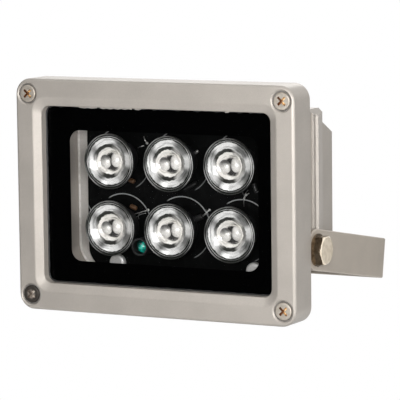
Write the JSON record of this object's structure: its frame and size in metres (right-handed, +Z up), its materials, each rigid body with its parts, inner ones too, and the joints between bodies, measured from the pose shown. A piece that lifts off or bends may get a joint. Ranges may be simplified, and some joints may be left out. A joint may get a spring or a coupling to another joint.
{
  "type": "infrared illuminator",
  "caption": "Infrared illuminator: metal housing with a glass front over a grid of reflector lamps, tilting on bolts in a U-shaped wall bracket.",
  "frame": {"origin": "middle of the bracket's wall face, on the axis of its stud hole", "axes": "+Z up and the glass facing -Y with the head as the picture shows it, +X to the right of a viewer who faces the glass; the bracket slopes 10 degrees down to its wall face"},
  "size_m": [0.1202, 0.0843, 0.0865],
  "materials": {
    "silver_paint": "silver-grey metallic paint on die-cast aluminium, satin",
    "bracket_paint": "silver-grey metallic paint, fine grain",
    "screw_steel": "bright zinc plating with a faint yellow tint",
    "bolt_steel": "bright plated steel, slightly yellow",
    "clear_glass": "clear flat glass",
    "black_print": "black print behind the glass",
    "black_rubber": "matt black rubber",
    "plain_aluminium": "plain milled aluminium",
    "black_board": "black solder mask, satin",
    "reflector_chrome": "vacuum-plated reflector",
    "lamp_base_plastic": "dark moulded lamp base",
    "lamp_silicone": "clear domed encapsulant",
    "sensor_green": "translucent green dome",
    "sleeve_black": "black plastic sleeve",
    "driver_green": "green solder mask",
    "component_dark": "dark component bodies",
    "gland_black": "black nylon"
  },
  "bodies": {
    "bracket": {"bracket": "bracket_paint"},
    "head": {"front_bezel": "silver_paint", "housing": "silver_paint", "bezel_screws": "screw_steel", "board_screws": "screw_steel", "tilt_bolt_left": "bolt_steel", "tilt_bolt_right": "bolt_steel", "tilt_washer_left": "bolt_steel", "tilt_washer_right": "bolt_steel", "front_glass": "clear_glass", "glass_border": "black_print", "glass_gasket": "black_rubber", "housing_gasket": "black_rubber", "gland_seal": "black_rubber", "mounting_plate": "plain_aluminium", "lamp_board": "black_board", "sensor_sleeve": "sleeve_black", "light_sensor": "sensor_green", "driver_screws": "screw_steel", "driver_board": "driver_green", "driver_coil": "component_dark", "driver_capacitor": "component_dark", "driver_chip": "component_dark", "driver_plug": "component_dark", "cable_gland": "gland_black", "gland_nut": "gland_black", "lamp_reflector_1": "reflector_chrome", "lamp_base_1": "lamp_base_plastic", "lamp_dome_1": "lamp_silicone", "lamp_reflector_2": "reflector_chrome", "lamp_base_2": "lamp_base_plastic", "lamp_dome_2": "lamp_silicone", "lamp_reflector_3": "reflector_chrome", "lamp_base_3": "lamp_base_plastic", "lamp_dome_3": "lamp_silicone", "lamp_reflector_4": "reflector_chrome", "lamp_base_4": "lamp_base_plastic", "lamp_dome_4": "lamp_silicone", "lamp_reflector_5": "reflector_chrome", "lamp_base_5": "lamp_base_plastic", "lamp_dome_5": "lamp_silicone", "lamp_reflector_6": "reflector_chrome", "lamp_base_6": "lamp_base_plastic", "lamp_dome_6": "lamp_silicone"}
  },
  "joints": [
    {"name": "head_tilt", "type": "hinge", "parent": "bracket", "child": "head", "pos_m": [0, -0.06171, 0.01109], "axis": [1, 0, 0], "range_deg": [-95, 75]}
  ]
}
